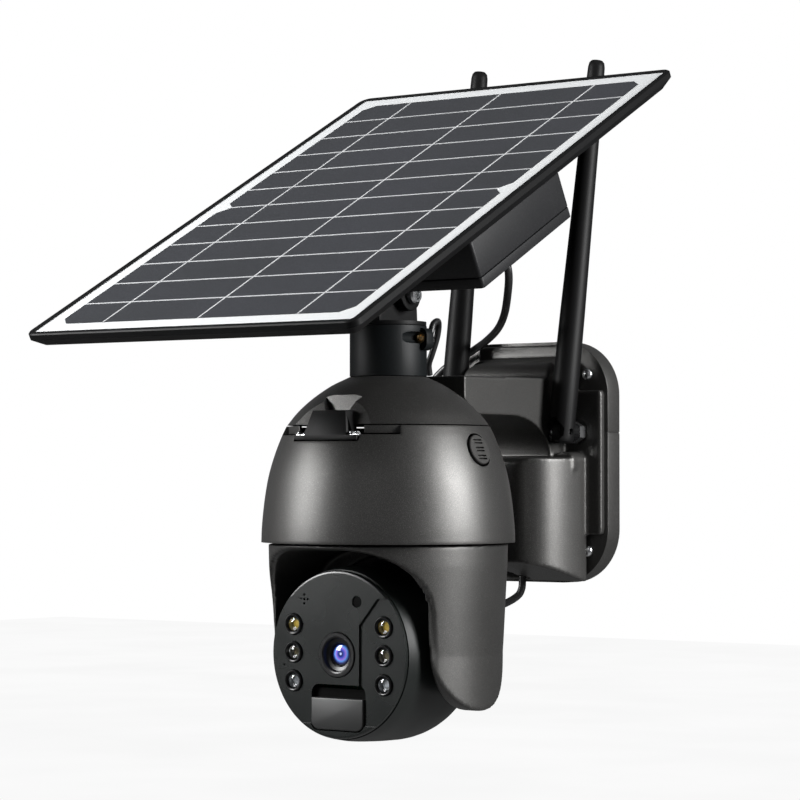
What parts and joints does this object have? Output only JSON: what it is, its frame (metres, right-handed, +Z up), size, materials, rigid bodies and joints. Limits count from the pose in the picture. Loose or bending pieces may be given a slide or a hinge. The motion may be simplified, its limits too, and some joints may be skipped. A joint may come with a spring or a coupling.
{
  "type": "solar-powered security camera",
  "caption": "Wall-mounted pan and tilt security camera with a tilting solar panel above the dome, a battery housing behind it and folding antennas.",
  "frame": {"origin": "centre of the wall plate's back face", "axes": "+Y out of the plate's back, into the wall; -Y the way the camera looks at rest; +Z up; +X to the right seen from the front"},
  "size_m": [0.176, 0.2561, 0.309],
  "materials": {
    "charcoal_plastic": "satin metallic charcoal, fine texture",
    "black_plastic": "satin black",
    "gloss_black": "gloss black",
    "face_black": "smooth dark grey",
    "panel_black": "black moulded frame",
    "backsheet_white": "white laminate",
    "cell_silicon": "dark silicon under clear film",
    "steel": "polished steel",
    "brass": "turned brass",
    "motor_can": "plated can",
    "circuit_board": "solder mask",
    "cell_wrap": "heat shrink",
    "lens_glass": "coated glass",
    "led_lens": "clear lens",
    "cable_black": "soft black jacket"
  },
  "bodies": {
    "root": {"wall_plate": "charcoal_plastic", "housing": "charcoal_plastic", "dome_shell": "charcoal_plastic", "dome_cap": "charcoal_plastic", "collar": "gloss_black", "brass_insert": "brass", "hatch_pin": "steel", "dome_base": "black_plastic", "pan_motor": "motor_can", "main_board": "circuit_board", "speaker_grille": "charcoal_plastic", "battery_cell_1": "cell_wrap", "battery_cell_2": "cell_wrap", "power_board": "circuit_board", "wall_screw_1": "steel", "wall_screw_2": "steel", "wall_screw_3": "steel", "wall_screw_4": "steel", "solar_lead": "cable_black", "neck_loop": "cable_black", "charge_lead": "cable_black", "charge_socket": "black_plastic", "antenna_socket_left": "steel", "antenna_socket_right": "steel"},
    "hatch": {"hatch_cover": "black_plastic"},
    "swivel": {"swivel_post": "black_plastic"},
    "panel": {"panel_frame": "panel_black", "backsheet": "backsheet_white", "cell_string_front": "cell_silicon", "cell_string_back": "cell_silicon", "panel_battery": "cell_wrap", "panel_box": "black_plastic", "panel_box_lid": "black_plastic", "panel_gland": "black_plastic", "panel_bracket": "black_plastic", "tilt_bolt": "steel", "tilt_nut": "steel"},
    "yoke": {"yoke": "charcoal_plastic"},
    "head": {"ball_shell": "face_black", "face_plate": "face_black", "lens_barrel": "black_plastic", "lens_glass": "lens_glass", "pir_cover": "face_black", "light_sensor": "gloss_black", "camera_board": "circuit_board", "tilt_motor": "motor_can", "tilt_axle_left": "steel", "tilt_axle_right": "steel", "led_left_1": "led_lens", "led_left_2": "led_lens", "led_left_3": "led_lens", "led_right_1": "led_lens", "led_right_2": "led_lens", "led_right_3": "led_lens"},
    "elbow_left": {"antenna_elbow_left": "black_plastic", "antenna_pin_left": "steel"},
    "antenna_left": {"antenna_rod_left": "black_plastic"},
    "elbow_right": {"antenna_elbow_right": "black_plastic", "antenna_pin_right": "steel"},
    "antenna_right": {"antenna_rod_right": "black_plastic"}
  },
  "joints": [
    {"name": "pan", "type": "hinge", "parent": "root", "child": "yoke", "pos_m": [0, -0.118, -0.036], "axis": [0, 0, 1], "range_deg": [-175, 175]},
    {"name": "tilt", "type": "hinge", "parent": "yoke", "child": "head", "pos_m": [0, -0.118, -0.0833], "axis": [1, 0, 0], "range_deg": [-10, 90]},
    {"name": "panel_swivel", "type": "hinge", "parent": "root", "child": "swivel", "pos_m": [0, -0.118, 0.05], "axis": [0, 0, 1], "range_deg": [-10, 8]},
    {"name": "panel_tilt", "type": "hinge", "parent": "swivel", "child": "panel", "pos_m": [0, -0.115, 0.073], "axis": [1, 0, 0], "range_deg": [-3, 30]},
    {"name": "hatch_hinge", "type": "hinge", "parent": "root", "child": "hatch", "pos_m": [0, -0.1606, 0.0112], "axis": [1, 0, 0], "range_deg": [0, 100]},
    {"name": "antenna_swivel_left", "type": "hinge", "parent": "root", "child": "elbow_left", "pos_m": [-0.031, -0.0288, 0.0138], "axis": [0, 1, 0], "range_deg": [-90, 0]},
    {"name": "antenna_fold_left", "type": "hinge", "parent": "elbow_left", "child": "antenna_left", "pos_m": [-0.031, -0.0288, 0.0138], "axis": [1, 0, 0], "range_deg": [0, 2]},
    {"name": "antenna_swivel_right", "type": "hinge", "parent": "root", "child": "elbow_right", "pos_m": [0.031, -0.0288, 0.0138], "axis": [0, 1, 0], "range_deg": [0, 90]},
    {"name": "antenna_fold_right", "type": "hinge", "parent": "elbow_right", "child": "antenna_right", "pos_m": [0.031, -0.0288, 0.0138], "axis": [1, 0, 0], "range_deg": [0, 2]}
  ]
}
